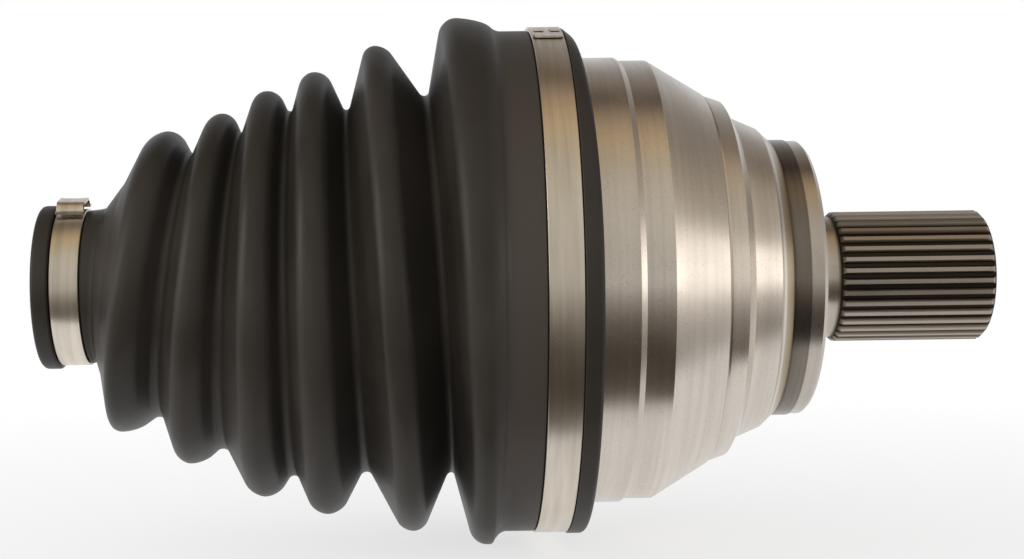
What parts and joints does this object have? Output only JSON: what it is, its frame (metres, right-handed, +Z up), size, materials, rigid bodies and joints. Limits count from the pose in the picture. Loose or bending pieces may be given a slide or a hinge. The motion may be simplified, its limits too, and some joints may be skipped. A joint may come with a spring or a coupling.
{
  "type": "constant velocity joint",
  "caption": "Wheel-side end of a drive shaft: bell with splined stub, ball joint inside, and a black rubber boot held by two band clamps.",
  "frame": {"origin": "centre that the joint bends about, in the middle of the inner race", "axes": "+X along the axis towards the wheel hub, +Z up, positive bend raises the shaft side (-X)"},
  "size_m": [0.2024, 0.1128, 0.1128],
  "materials": {
    "turned_steel": "turned",
    "hardened_steel": "ground",
    "ball_steel": "polished",
    "spring_steel": "oiled",
    "pressed_steel": "zinc plated",
    "clamp_steel": "satin strip",
    "boot_rubber": "satin"
  },
  "bodies": {
    "bell": {"joint_bell": "turned_steel", "sealing_cap": "pressed_steel", "large_clamp": "clamp_steel", "boot": "boot_rubber"},
    "race": {"inner_race": "hardened_steel", "circlip": "spring_steel", "small_clamp": "clamp_steel"},
    "cage": {"ball_cage": "hardened_steel", "ball_1": "ball_steel", "ball_4": "ball_steel"},
    "ball_2": {"ball_2": "ball_steel"},
    "ball_3": {"ball_3": "ball_steel"},
    "ball_5": {"ball_5": "ball_steel"},
    "ball_6": {"ball_6": "ball_steel"}
  },
  "joints": [
    {"name": "bend", "type": "hinge", "parent": "bell", "child": "race", "pos_m": [0, 0, 0], "axis": [0, 1, 0], "range_deg": [-45, 45], "stiffness_Nm_per_rad": 1, "deforming": ["boot"]},
    {"name": "cage_tilt", "type": "hinge", "parent": "bell", "child": "cage", "pos_m": [0, 0, 0], "axis": [0, 1, 0], "range_deg": [-22.6, 22.6]},
    {"name": "ball_2_travel", "type": "hinge", "parent": "bell", "child": "ball_2", "pos_m": [-0.0024, 0, 0], "axis": [0, 0.866, -0.5], "range_deg": [-19.8, 19.8]},
    {"name": "ball_3_travel", "type": "hinge", "parent": "bell", "child": "ball_3", "pos_m": [-0.0024, 0, 0], "axis": [0, 0.866, 0.5], "range_deg": [-19.8, 19.8]},
    {"name": "ball_5_travel", "type": "hinge", "parent": "bell", "child": "ball_5", "pos_m": [-0.0024, 0, 0], "axis": [0, -0.866, 0.5], "range_deg": [-19.8, 19.8]},
    {"name": "ball_6_travel", "type": "hinge", "parent": "bell", "child": "ball_6", "pos_m": [-0.0024, 0, 0], "axis": [0, -0.866, -0.5], "range_deg": [-19.8, 19.8]}
  ],
  "couplings": [
    {"joint": "cage_tilt", "follows": "bend", "ratio": 0.5},
    {"joint": "ball_2_travel", "follows": "bend", "ratio": 0.4385},
    {"joint": "ball_3_travel", "follows": "bend", "ratio": 0.4385},
    {"joint": "ball_5_travel", "follows": "bend", "ratio": -0.4385},
    {"joint": "ball_6_travel", "follows": "bend", "ratio": -0.4385}
  ]
}
